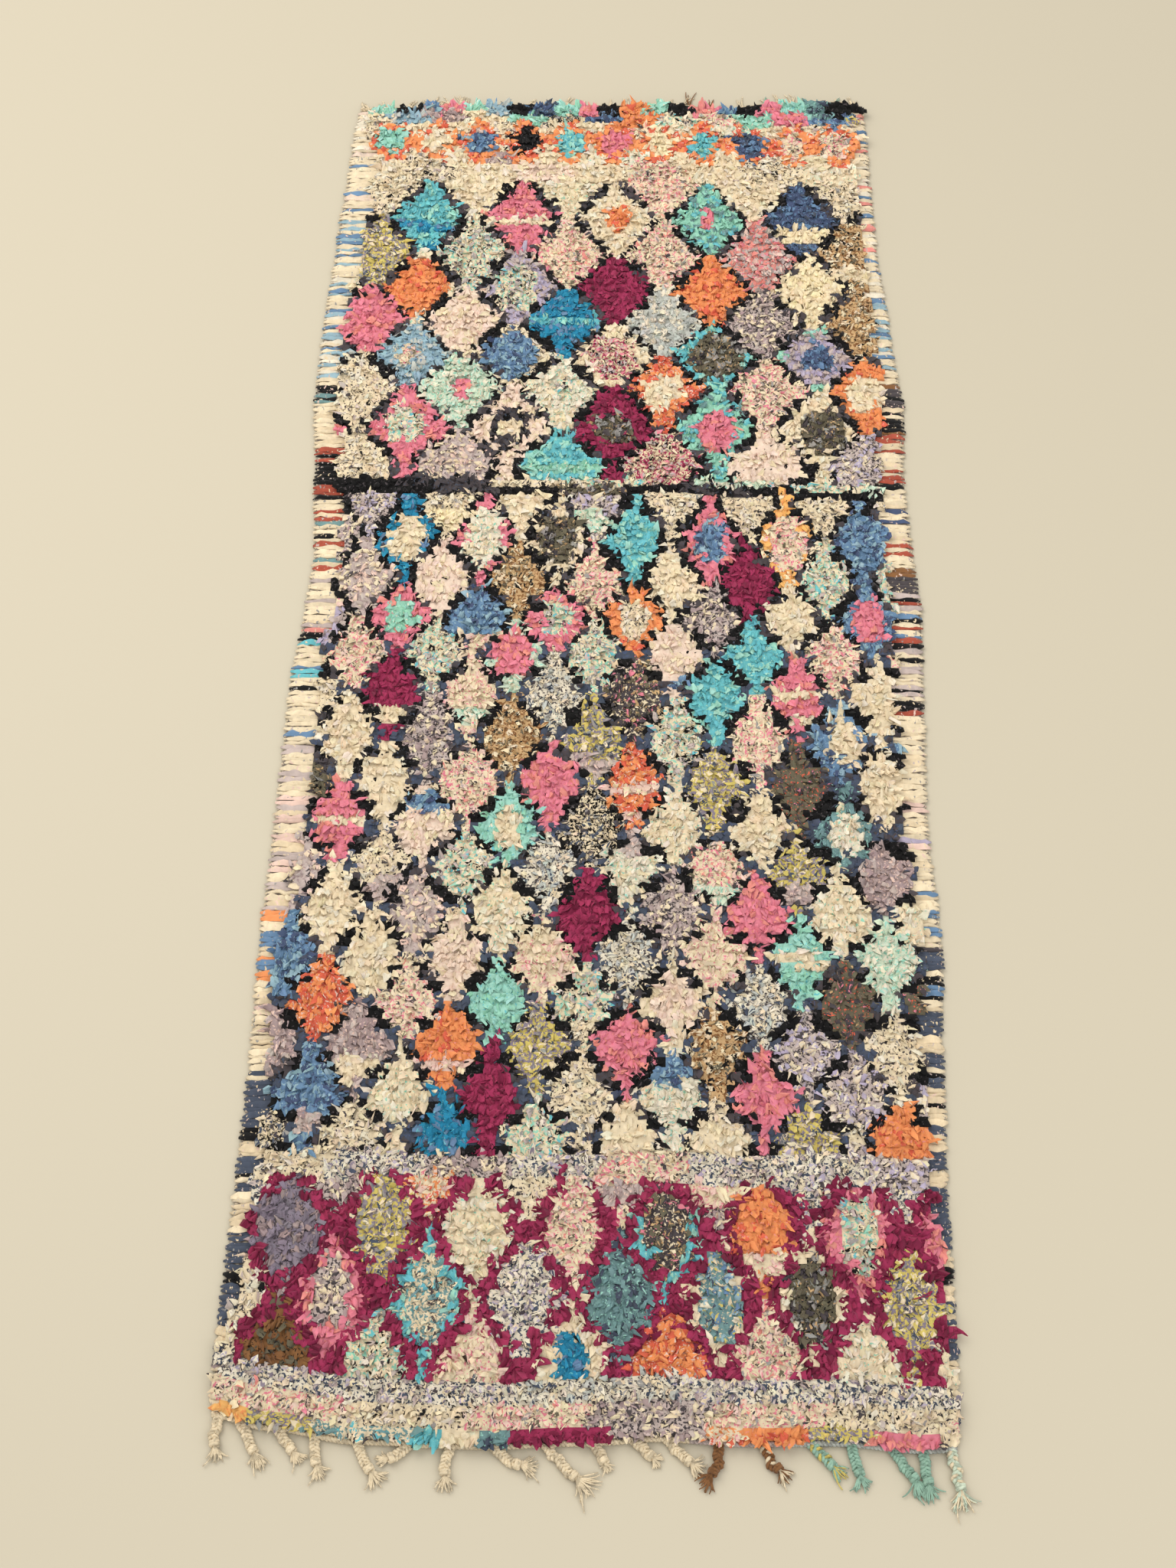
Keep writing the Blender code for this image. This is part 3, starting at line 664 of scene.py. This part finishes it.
def makeFibreGroup():
    # Fine ribs of knit or twist with uneven tone: a height and a tone
    group, given, result = newGroup("fibreRelief", [
        ("Vector", "NodeSocketVector", (0, 0, 0)), ("Pitch", "NodeSocketFloat", 600.0),
        ("Mottle", "NodeSocketFloat", 90.0),
    ], [("Height", "NodeSocketFloat"), ("Tone", "NodeSocketFloat")])
    bands = addNode(group, "ShaderNodeTexWave", [
        ("Vector", given.outputs["Vector"]), ("Scale", given.outputs["Pitch"]),
        ("Distortion", 1.5), ("Detail", 1.0), ("Detail Scale", 2.0),
    ], wave_type="BANDS", bands_direction="X")
    mottle = addNode(group, "ShaderNodeTexNoise", [
        ("Vector", given.outputs["Vector"]), ("Scale", given.outputs["Mottle"]),
        ("Detail", 3.0), ("Roughness", 0.6),
    ])
    height = addNode(group, "ShaderNodeMath", [
        (0, bands.outputs["Fac"]), (1, mottle.outputs[0]),
    ], operation="ADD")
    tone = addNode(group, "ShaderNodeMapRange", [
        ("Value", mottle.outputs[0]), ("From Min", 0.25), ("From Max", 0.75),
        ("To Min", 0.80), ("To Max", 1.12),
    ])
    feed(group, result, [("Height", height.outputs[0]), ("Tone", tone.outputs[0])])
    return group


printGroup = makePrintGroup()
fibreGroup = makeFibreGroup()


def newMaterial(name):
    material = bpy.data.materials.new(name)
    material.use_nodes = True
    return material, material.node_tree, material.node_tree.nodes["Principled BSDF"]


def finishCloth(tree, shader, colour, tone, height, strength, depth, rough):
    # Mottles the colour, and gives the shader its relief and an uneven roughness
    toned = addNode(tree, "ShaderNodeMix", [
        (0, 1.0), (6, colour), (7, tone),
    ], data_type="RGBA", blend_type="MULTIPLY")
    relief = addNode(tree, "ShaderNodeBump", [
        ("Height", height), ("Strength", strength), ("Distance", depth),
    ])
    uneven = addNode(tree, "ShaderNodeMapRange", [
        ("Value", tone), ("From Min", 0.8), ("From Max", 1.12), ("To Min", rough[0]), ("To Max", rough[1]),
    ])
    feed(tree, shader, [
        ("Base Color", toned.outputs[2]), ("Roughness", uneven.outputs[0]), ("Normal", relief.outputs[0]),
    ])


def clothMaterial(name, rough, sheen, printScale, ribPitch, bump, vector="uv"):
    # Reads the piece's own colours; ragUv runs along each strip of rag or yarn
    material, tree, shader = newMaterial(name)
    feed(tree, shader, [("Sheen Weight", sheen), ("Sheen Roughness", 0.5), ("Specular IOR Level", 0.12)])
    if vector == "uv":
        along = addNode(tree, "ShaderNodeUVMap", uv_map="ragUv").outputs[0]
    else:
        along = addNode(tree, "ShaderNodeTexCoord").outputs["Object"]
    ground = addNode(tree, "ShaderNodeAttribute", attribute_name="rag")
    mark = addNode(tree, "ShaderNodeAttribute", attribute_name="mark")
    prints = addNode(tree, "ShaderNodeGroup", node_tree=printGroup)
    feed(tree, prints, [
        ("Vector", along), ("Ground", ground.outputs["Color"]), ("Mark", mark.outputs["Color"]),
        ("Share", mark.outputs["Alpha"]), ("Scale", printScale),
    ])
    fibre = addNode(tree, "ShaderNodeGroup", node_tree=fibreGroup)
    feed(tree, fibre, [("Vector", along), ("Pitch", ribPitch)])
    finishCloth(tree, shader, prints.outputs["Color"], fibre.outputs["Tone"], fibre.outputs["Height"],
                bump, 0.0006, (rough - 0.08, rough + 0.06))
    return material


ragMaterial = clothMaterial("jerseyRags", 0.88, 0.05, 185.0, 420.0, 0.34)
yarnMaterial = clothMaterial("weftYarn", 0.88, 0.10, 170.0, 500.0, 0.5)
cottonMaterial = clothMaterial("cottonPly", 0.88, 0.10, 120.0, 700.0, 0.5, "object")
print("materials made")


# The woven ground that everything is tied to
ground = {"columns": 32, "rows": 80, "bottom": 0.0004, "top": 0.0052, "ripple": 0.0004,
          "inset": 0.004}


def weaveGround():
    bm = bmesh.new()
    bmesh.ops.create_grid(bm, x_segments=ground["columns"], y_segments=ground["rows"], size=0.5)
    for vert in bm.verts:
        x, y = clothPoint(vert.co.x + 0.5, vert.co.y + 0.5)
        left, right = sideEdges(y)
        inset = 1 - ground["inset"] / (right - left)   # wefts cover the very edge
        middle = (left + right) / 2
        x = middle + (x - middle) * inset
        z = ground["top"] + ground["ripple"] * noise.noise(Vector((x * 60, y * 60, 2)))
        vert.co = (x, y, z)
    bmesh.ops.recalc_face_normals(bm, faces=bm.faces[:])
    if next(iter(bm.faces)).normal.z < 0:
        bmesh.ops.reverse_faces(bm, faces=bm.faces[:])
    upper = bm.verts[:]
    top = set(upper)
    grown = bmesh.ops.extrude_face_region(bm, geom=bm.faces[:], use_keep_orig=True)["geom"]
    for part in grown:
        if isinstance(part, bmesh.types.BMVert) and part not in top:
            part.co.z = ground["bottom"]
    bmesh.ops.recalc_face_normals(bm, faces=bm.faces[:])
    mesh = bpy.data.meshes.new("wovenGround")
    bm.to_mesh(mesh)
    bm.free()
    mesh.shade_smooth()
    return addPiece("wovenGround", mesh)


def groundMaterial():
    # Weft-faced plain weave: rows of beads in cream and grey
    material, tree, shader = newMaterial("groundWeave")
    feed(tree, shader, [("Specular IOR Level", 0.2)])
    place = addNode(tree, "ShaderNodeTexCoord").outputs["Object"]
    weft = addNode(tree, "ShaderNodeTexWave", [
        ("Vector", place), ("Scale", 48.0), ("Distortion", 1.0), ("Detail", 1.0),
    ], wave_type="BANDS", bands_direction="Y")
    warp = addNode(tree, "ShaderNodeTexWave", [
        ("Vector", place), ("Scale", 32.0), ("Distortion", 1.5), ("Detail", 1.0),
    ], wave_type="BANDS", bands_direction="X")
    beads = addNode(tree, "ShaderNodeMath", [(0, weft.outputs["Fac"]), (1, warp.outputs["Fac"])],
                    operation="MULTIPLY")
    fibre = addNode(tree, "ShaderNodeGroup", node_tree=fibreGroup)
    feed(tree, fibre, [("Vector", place)])
    colour = addNode(tree, "ShaderNodeMix", [
        (0, beads.outputs[0]), (6, (0.16, 0.13, 0.11, 1)), (7, (0.62, 0.52, 0.38, 1)),
    ], data_type="RGBA")
    finishCloth(tree, shader, colour.outputs[2], fibre.outputs["Tone"], beads.outputs[0],
                0.6, 0.001, (0.82, 0.95))
    return material


# Bare selvedges: thick wefts lying side by side, in bands of yarn from the near end to the far one
selvedge = {
    "pitch": (0.0066, 0.0104), "halfHeight": 0.0034, "middle": 0.0062, "under": 0.022,
    "loop": 0.0050, "warpPitch": 0.0095, "overWarp": 0.0012, "marks": "dust blush ecru grey ecru",
    "markShare": 0.1, "kink": 0.0012, "wander": 0.0035, "tone": 0.06,
    # the y where a band ends, the longest run of one yarn, the yarns
    "left": (
        (-1.20, 2, "cream ecru cream mauve"), (-0.76, 3, "slate cream slate black slate ecru"),
        (-0.74, 2, "cream ecru cream black cream"), (-0.62, 2, "cream ecru blush cream black cream cream"),
        (-0.50, 2, "cream navy orange blue cream ecru"), (-0.27, 2, "cream ecru cream cream blush dust"),
        (-0.10, 2, "cream rust cream dust cream black blue cream"),
        (0.04, 2, "cream blue black salmon turquoise cream cream"),
        (0.16, 2, "salmon cream dust cream ecru"), (0.32, 1, "cream rust black cream ecru cream teal rust"),
        (0.44, 3, "rust rust rust black"), (0.60, 1, "cream black ecru teal cream cream"),
        (0.80, 1, "cream cream sky white cream blue"), (1.02, 1, "white cream sky cream blue cream"),
        (1.40, 1, "cream peach cream blue cream salmon white cream"),
    ),
    "right": (
        (-1.10, 2, "cream ecru slate slate"), (-0.66, 3, "slate black slate slate cream ecru"),
        (-0.50, 2, "black cream charcoal ecru cream blue slate"), (-0.40, 2, "cream ecru black blue cream"),
        (-0.12, 2, "cream ecru cream cream lilac cream blush"),
        (0.02, 1, "cream rust black cream dust cream cream"),
        (0.14, 1, "cream rust blue cream dust black cream"), (0.24, 3, "charcoal brown cream rust charcoal"),
        (0.34, 1, "cream cream ecru navy"), (0.48, 1, "cream rust ecru rust black cream"),
        (0.60, 1, "black brown cream charcoal ecru"), (0.86, 1, "white cream sky cream blue"),
        (1.40, 1, "cream cream blue white cream salmon cream"),
    ),
}


def laySelvedges():
    draw = np.random.default_rng(23)
    form = closedBar(5, 7)
    unit = form["unit"]
    across, lift, share = unit[:, 0], unit[:, 1], unit[:, 2]
    places, uvs, words, marks = [], [], [], []
    for column, side in ((1, "left"), (2, "right")):
        outwards = 1 if side == "right" else -1
        near, far = (float(clothPoint(column - 1, end)[1]) for end in (0, 1))
        y, yarn, left, number = near + 0.005, "cream", 0, 0
        while y < far - 0.004:
            edge = float(sideEdges(y)[column - 1])
            if left == 0:
                longest, names = next(band[1:] for band in selvedge[side] if y <= band[0])
                yarn = str(draw.choice(names.split()))
                left = int(draw.integers(1, longest + 1))
            left -= 1
            number += 1
            pitch = draw.uniform(*selvedge["pitch"])
            bare = float(eased(pile["bare"], column, y))
            inner = edge - outwards * (bare + selvedge["under"])
            outer = edge + outwards * draw.uniform(0.1, 1) * selvedge["loop"]
            x = inner + (outer - inner) * share
            bulk = np.sqrt(np.clip(1 - ((share - 0.5) * 2) ** 8, 0.12, 1)) * draw.uniform(0.9, 1.15)
            bulk = bulk * np.interp(share, np.linspace(0, 1, 7), draw.uniform(0.8, 1.2, 7))
            wave = np.interp(share, np.linspace(0, 1, 7), draw.normal(0, selvedge["kink"], 7))
            wave = wave + selvedge["wander"] * noise.noise(Vector((0, y * 30, column)))
            crossing = np.sin(x / selvedge["warpPitch"] * 2 * math.pi + number * math.pi)
            height = selvedge["middle"] - np.clip(share - 0.84, 0, 1) * 0.016
            height = height + crossing * selvedge["overWarp"] + lift * selvedge["halfHeight"] * bulk
            places.append(np.stack((
                x, y + wave + across * pitch * 0.6 * bulk, np.maximum(height, 0.0005),
            ), axis=1))
            uvs.append(np.stack((across * 0.004, share * 0.06), axis=1) + draw.uniform(0, 1, (1, 2)))
            words.append(yarn)
            marks.append(str(draw.choice(selvedge["marks"].split())))
            y += pitch
    shades = np.array([linear(word) for word in words])[:, None, :]
    shades = shades * draw.normal(1, selvedge["tone"], (len(words), 1, 1)) * np.ones((1, len(unit), 1))
    prints = np.array([linear(word) for word in marks])[:, None, :] * np.ones((1, len(unit), 1))
    ones = np.ones((len(words), len(unit), 1))
    ink = {"rag": np.concatenate((shades, ones), 2),
           "mark": np.concatenate((prints, ones * selvedge["markShare"]), 2)}
    piece = joinedMesh("selvedgeWefts", [(form, np.array(places), ink, np.array(uvs))])
    print("selvedge wefts:", len(words), "triangles:", triangles(piece))
    return piece


# Twined cords, plaited tassels and loose warp ends, drawn as bevelled curves
fringe = {
    "cordPly": 0.0027, "cordTwist": 0.0022, "cordPitch": 0.0115, "cordStep": 0.0017, "cordLift": 0.0052,
    "cordGap": 0.0036, "strand": 0.0027, "plaitWidth": 0.0055, "plaitHeight": 0.0024,
    "plaitPitch": 0.016, "plaitShare": 0.64, "knotAt": 0.72, "knotRadius": 0.0050, "knotPly": 0.0029,
    "knotHeight": 0.0081, "waver": 0.0022,
    "yarn": 0.0015, "yarnShare": 0.42, "yarnSpread": 46, "yarns": 20, "step": 0.0018,
    # x of the root, heading in degrees from straight out towards +X, turn, length, yarn
    "tassels": (
        (-0.517, -15, 28, 0.056, "cream"), (-0.489, 32, -6, 0.064, "cream"), (-0.436, 34, 10, 0.052, "cream"),
        (-0.384, 3, 16, 0.054, "cream"), (-0.324, 18, 22, 0.060, "cream"), (-0.253, -38, -40, 0.044, "cream"),
        (-0.195, -22, 26, 0.054, "cream"), (-0.136, 38, 44, 0.060, "cream"), (-0.066, 38, 14, 0.082, "cream"),
        (0.001, 28, 0, 0.038, "cream"), (0.056, 40, 12, 0.044, "cream"), (0.101, 40, 16, 0.058, "cream"),
        (0.171, 6, -44, 0.060, "brown"), (0.234, 14, 34, 0.054, "brown cream"),
        (0.298, 42, 6, 0.056, "mint gold"), (0.353, 10, 8, 0.056, "mint"), (0.409, 36, -6, 0.068, "mint"),
        (0.452, 2, 4, 0.060, "mint"), (0.489, 14, -10, 0.074, "paleMint cream"),
    ),
    "warpEnds": (
        (-0.496, -16, 20, 0.026, "cream"), (-0.348, 12, -24, 0.020, "cream"), (-0.099, 8, 18, 0.034, "cream"),
        (0.022, -20, 10, 0.024, "cream"), (0.148, -12, 30, 0.050, "brown"), (0.183, 24, -16, 0.034, "brown"),
        (0.294, 10, 22, 0.030, "mint"), (0.384, -14, -12, 0.026, "mint"), (0.436, 18, 16, 0.024, "mint"),
    ),
    "wisps": 30, "wispRoots": (-0.50, 0.48), "wispHeading": 25, "wispTurn": 50, "wispLength": (0.020, 0.038),
    "cordYarns": ((0.13, "cream"), (0.27, "dust"), (0.9, "silver")),   # up to this x
    "dull": {"mint": "sage", "gold": "ochre", "brown": "brown", "cream": "cream", "paleMint": "paleMint"},
}


def newCurve(name):
    curve = bpy.data.curves.new(name, "CURVE")
    curve.dimensions = "3D"
    curve.bevel_depth = 1.0
    curve.bevel_resolution = 1
    curve.use_fill_caps = True
    return curve


def addYarn(curve, inks, points, radii, dye):
    spline = curve.splines.new("POLY")
    spline.points.add(len(points) - 1)
    for point, place, radius in zip(spline.points, points, radii):
        point.co = (*place, 1)
        point.radius = radius
    if dye not in inks:
        inks.append(dye)
        curve.materials.append(bpy.data.materials.get("dye_" + dye) or bpy.data.materials.new("dye_" + dye))
    spline.material_index = inks.index(dye)


def yarnPiece(name, curve, inks, material, seed):
    holder = addPiece(name + "Path", curve)
    bpy.context.view_layer.update()
    shaped = holder.evaluated_get(bpy.context.evaluated_depsgraph_get())
    mesh = bpy.data.meshes.new_from_object(shaped)
    mesh.name = name
    bpy.data.objects.remove(holder, do_unlink=True)
    bpy.data.curves.remove(curve)
    bm = bmesh.new()
    bm.from_mesh(mesh)
    bmesh.ops.remove_doubles(bm, verts=bm.verts[:], dist=0.000002)
    bmesh.ops.recalc_face_normals(bm, faces=bm.faces[:])
    bm.to_mesh(mesh)
    bm.free()
    draw = np.random.default_rng(seed)
    shades = np.ones((len(mesh.vertices), 4))
    tables = [linear(dye) for dye in inks]
    for face in mesh.polygons:
        for vert in face.vertices:
            shades[vert, :3] = tables[face.material_index]
        face.material_index = 0
    marks = shades.copy()
    marks[:, :3] *= 0.72
    marks[:, 3] = 0.3
    shades[:, :3] *= draw.normal(1, 0.03, (len(shades), 1))
    paintMesh(mesh, "POINT", rag=shades, mark=marks)
    mesh.materials.clear()
    mesh.materials.append(material)
    mesh.shade_smooth()
    piece = addPiece(name, mesh)
    print(name, "triangles:", triangles(piece))
    return piece


def endLine(column):
    # The end of the cloth as x and y along its width
    across = np.linspace(0, 1, 400)
    return clothPoint(across, np.full(400, 0.0 if column == "near" else 1.0))


def twinedCord(curve, inks, column):
    outwards = -1 if column == "near" else 1
    lineX, lineY = endLine(column)
    count = int((lineX[-1] - lineX[0]) / fringe["cordStep"])
    x = np.linspace(lineX[0] + 0.004, lineX[-1] - 0.004, count)
    y = np.interp(x, lineX, lineY) + outwards * fringe["cordGap"]
    phase = np.arange(count) * fringe["cordStep"] / fringe["cordPitch"] * 2 * math.pi
    for ply in (0, math.pi):
        start = 0
        for end, dye in fringe["cordYarns"]:
            last = min(int(np.searchsorted(x, end)), count - 1)
            part = slice(start, last + 1)
            if last > start:
                points = np.stack((
                    x[part], y[part] + fringe["cordTwist"] * np.cos(phase[part] + ply),
                    fringe["cordLift"] + fringe["cordTwist"] * np.sin(phase[part] + ply),
                ), axis=1)
                dyeHere = dye if column == "near" else "ecru"
                addYarn(curve, inks, points, [fringe["cordPly"]] * len(points), dyeHere)
            start = last


def strandLine(x, heading, turn, length, column, steps):
    # The middle line of a tassel over the floor, with its direction and its sideways direction
    outwards = -1 if column == "near" else 1
    lineX, lineY = endLine(column)
    place = np.array([x, float(np.interp(x, lineX, lineY)) + outwards * fringe["cordGap"]])
    places, ahead = [], []
    for step in range(steps + 1):
        angle = math.radians(heading + turn * step / steps)
        direction = np.array([math.sin(angle), outwards * math.cos(angle)])
        places.append(place.copy())
        ahead.append(direction)
        place = place + direction * length / steps
    return np.array(places), np.array(ahead)


def plaitTassel(curve, inks, row, seed):
    x, heading, turn, length, names = row
    draw = random.Random(seed)
    dyeNames = [fringe["dull"].get(name, name) for name in names.split()]
    steps = int(length / fringe["step"])
    places, ahead = strandLine(x, heading, turn, length, "near", steps)
    aside = np.stack((-ahead[:, 1], ahead[:, 0]), axis=1)
    waver = [noise.noise(Vector((step * 0.16, seed, 0))) * min(step / 8, 1) for step in range(steps + 1)]
    places = places + aside * np.array(waver)[:, None] * fringe["waver"] * 2
    knotStep = int(steps * fringe["knotAt"])
    plaitEnd = int(steps * fringe["plaitShare"])
    for strand in range(3):
        points = []
        for step in range(plaitEnd + 2):
            angle = step * fringe["step"] / fringe["plaitPitch"] * 2 * math.pi + strand * 2 * math.pi / 3
            side = fringe["plaitWidth"] * math.sin(angle)
            up = fringe["plaitHeight"] * math.sin(2 * angle)
            spot = places[step] + aside[step] * side
            points.append((spot[0], spot[1], fringe["strand"] + fringe["plaitHeight"] + up + 0.0004))
        radii = [fringe["strand"] * draw.uniform(0.84, 1.12) for point in points]
        addYarn(curve, inks, points, radii, dyeNames[strand % len(dyeNames)])
    turns = 20   # the knot: a strand wound twice round
    points = []
    for step in range(turns * 2 + 1):
        angle = step / turns * 2 * math.pi
        advance = (step / turns - 1) * 0.0032
        spot = places[knotStep] + ahead[knotStep] * advance
        spot = spot + aside[knotStep] * fringe["knotRadius"] * math.cos(angle)
        points.append((spot[0], spot[1], fringe["knotHeight"] + fringe["knotRadius"] * math.sin(angle)))
    addYarn(curve, inks, points, [fringe["knotPly"]] * len(points), dyeNames[0])
    for yarn in range(fringe["yarns"]):
        fan = (yarn / (fringe["yarns"] - 1) - 0.5) * 2
        angle = math.radians(heading + turn + fan * fringe["yarnSpread"] + draw.uniform(-9, 9))
        bend = math.radians(draw.uniform(-60, 60))
        reach = length * fringe["yarnShare"] * draw.uniform(0.7, 1.15) * (1.3 if yarn == 3 else 1)
        spot = places[knotStep] + ahead[knotStep] * 0.001 + aside[knotStep] * fan * -0.002
        points = []
        for step in range(7):
            share = step / 6
            points.append((spot[0], spot[1], 0.0050 * (1 - share) ** 2 + 0.0031 + 0.001 * draw.random()))
            here = angle + bend * share * share
            spot = spot + np.array([math.sin(here), -math.cos(here)]) * reach / 6
        radii = [fringe["yarn"] * (1.1 - 0.6 * step / 6) * draw.uniform(0.8, 1.2) for step in range(7)]
        addYarn(curve, inks, points, radii, dyeNames[yarn % len(dyeNames)])


def looseEnd(curve, inks, row, seed):
    x, heading, turn, length, names = row
    draw = random.Random(seed)
    for yarn in range(3):
        steps = 9
        places, ahead = strandLine(x + 0.0012 * yarn, heading + draw.uniform(-14, 14),
                                   turn * draw.uniform(0.4, 2), length * draw.uniform(0.7, 1.05), "far", steps)
        points = [(place[0], place[1], 0.0016 + 0.004 * (1 - step / steps) ** 2 + 0.001 * draw.random())
                  for step, place in enumerate(places)]
        radii = [fringe["yarn"] * (1.1 - 0.6 * step / steps) for step in range(steps + 1)]
        addYarn(curve, inks, points, radii, fringe["dull"].get(names, names))


# Build everything
groundPiece = weaveGround()
groundPiece.data.materials.append(groundMaterial())
print("ground woven")

knots = knotTable()
pilePieces = []
top = 9.0
for number, (name, bottom) in enumerate(pile["pieces"]):
    own = [knot for knot in knots if bottom < knot[1] <= top]
    top = bottom
    piece = tiePile(own, name, 40 + number)
    piece.data.materials.append(ragMaterial)
    pilePieces.append(piece)
bed = layBed(knots)
bed.data.materials.append(ragMaterial)
pilePieces.append(bed)

selvedgePiece = laySelvedges()
selvedgePiece.data.materials.append(yarnMaterial)

nearCurve, nearInks = newCurve("nearCord"), []
twinedCord(nearCurve, nearInks, "near")
nearCord = yarnPiece("nearCord", nearCurve, nearInks, cottonMaterial, 3)

tasselCurve, tasselInks = newCurve("tassels"), []
for number, row in enumerate(fringe["tassels"]):
    plaitTassel(tasselCurve, tasselInks, row, 60 + number)
tassels = yarnPiece("tassels", tasselCurve, tasselInks, cottonMaterial, 4)

farCurve, farInks = newCurve("farWarpEnds"), []
twinedCord(farCurve, farInks, "far")
wispDraw = random.Random(31)
wisps = [
    (wispDraw.uniform(*fringe["wispRoots"]), wispDraw.uniform(-fringe["wispHeading"], fringe["wispHeading"]),
     wispDraw.uniform(-fringe["wispTurn"], fringe["wispTurn"]), wispDraw.uniform(*fringe["wispLength"]), "cream")
    for number in range(fringe["wisps"])
]
for number, row in enumerate([*fringe["warpEnds"], *wisps]):
    looseEnd(farCurve, farInks, row, 90 + number)
farEnds = yarnPiece("farWarpEnds", farCurve, farInks, cottonMaterial, 5)

for material in list(bpy.data.materials):
    if material.name.startswith("dye_"):
        bpy.data.materials.remove(material)

# What rides on what
clothPieces = [*pilePieces, selvedgePiece, nearCord, tassels, farEnds]
for piece in [groundPiece, *clothPieces]:
    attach(piece, "root")
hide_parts("rug_body")
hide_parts("fringe_near")
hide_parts("fringe_far")

# Plain pale floor
floorSize = 14.0
floorMesh = bpy.data.meshes.new("floor")
floorBm = bmesh.new()
bmesh.ops.create_grid(floorBm, x_segments=1, y_segments=1, size=floorSize / 2)
floorBm.to_mesh(floorMesh)
floorBm.free()
floor = addPiece("floor", floorMesh)
floor.location = (0, 0, -0.0002)
floorMaterial, floorTree, floorShader = newMaterial("paleFloor")
feed(floorTree, floorShader, [("Base Color", (0.474, 0.426, 0.322, 1)), ("Roughness", 0.6)])
floorMesh.materials.append(floorMaterial)

# Camera at the photograph's angle
view = {"place": (0.0053, -2.0476, 3.036), "tilt": 30.7, "turn": 0.996, "lens": 50, "sensor": 36}
cameraData = bpy.data.cameras.new("camera")
cameraData.lens = view["lens"]
cameraData.sensor_width = view["sensor"]
camera = addPiece("camera", cameraData)
camera.location = view["place"]
camera.rotation_euler = (math.radians(view["tilt"]), 0, math.radians(view["turn"]))
bpy.context.scene.camera = camera

# Soft studio light from the far left, with a wide fill
lights = {
    "key": {"place": (-2.3, 1.6, 4.3), "size": 4.2, "power": 154, "colour": (1.0, 0.97, 0.92)},
    "fill": {"place": (2.2, -2.4, 3.2), "size": 3.2, "power": 47, "colour": (0.95, 0.97, 1.0)},
}
for name, settings in lights.items():
    lampData = bpy.data.lights.new(name, "AREA")
    lampData.shape = "SQUARE"
    lampData.size = settings["size"]
    lampData.energy = settings["power"]
    lampData.color = settings["colour"]
    lamp = addPiece(name, lampData)
    lamp.location = settings["place"]
    aim = -Vector(settings["place"])
    lamp.rotation_euler = aim.to_track_quat("-Z", "Y").to_euler()
world = bpy.data.worlds.new("studio")
world.use_nodes = True
world.node_tree.nodes["Background"].inputs["Color"].default_value = (1.0, 0.98, 0.95, 1)
world.node_tree.nodes["Background"].inputs["Strength"].default_value = 1.0
bpy.context.scene.world = world
bpy.context.scene.view_settings.view_transform = "Standard"

allPieces = [groundPiece, *clothPieces]
print("pieces:", len(allPieces), "triangles:", sum(triangles(piece) for piece in allPieces))
